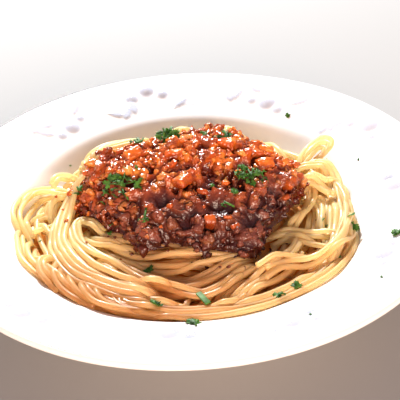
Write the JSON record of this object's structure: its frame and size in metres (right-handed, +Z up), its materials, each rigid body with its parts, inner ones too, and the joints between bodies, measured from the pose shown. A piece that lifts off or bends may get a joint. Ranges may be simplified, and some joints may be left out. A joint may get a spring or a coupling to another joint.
{
  "type": "curry spaghetti",
  "caption": "Wide-rimmed deep plate holding a nest of spaghetti under a mound of minced meat sauce, with carrot dice and sprigs of parsley.",
  "frame": {"origin": "on the table, at the centre of the plate's foot ring", "axes": "+Z up, out of the plate; -Y is the front of the dish, where the noodles reach the edge of the well; +Y is the back, where the plate's wall shows; +X is the diner's right"},
  "size_m": [0.24, 0.24, 0.0641],
  "materials": {
    "porcelain": "white glaze, glossy",
    "pasta": "cooked wheat pasta, buttery and slightly see-through",
    "meat_sauce": "minced meat in a wet, oily red-brown sauce",
    "carrot": "cooked carrot, wet",
    "parsley": "fresh curly parsley, satin"
  },
  "bodies": {
    "root": {"plate": "porcelain", "spaghetti": "pasta", "meat_sauce": "meat_sauce", "carrot_1": "carrot", "carrot_2": "carrot", "carrot_3": "carrot", "carrot_4": "carrot", "carrot_5": "carrot", "carrot_6": "carrot", "carrot_7": "carrot", "parsley_sprig_back": "parsley", "parsley_sprig_left": "parsley", "parsley_sprig_right": "parsley"}
  },
  "joints": []
}
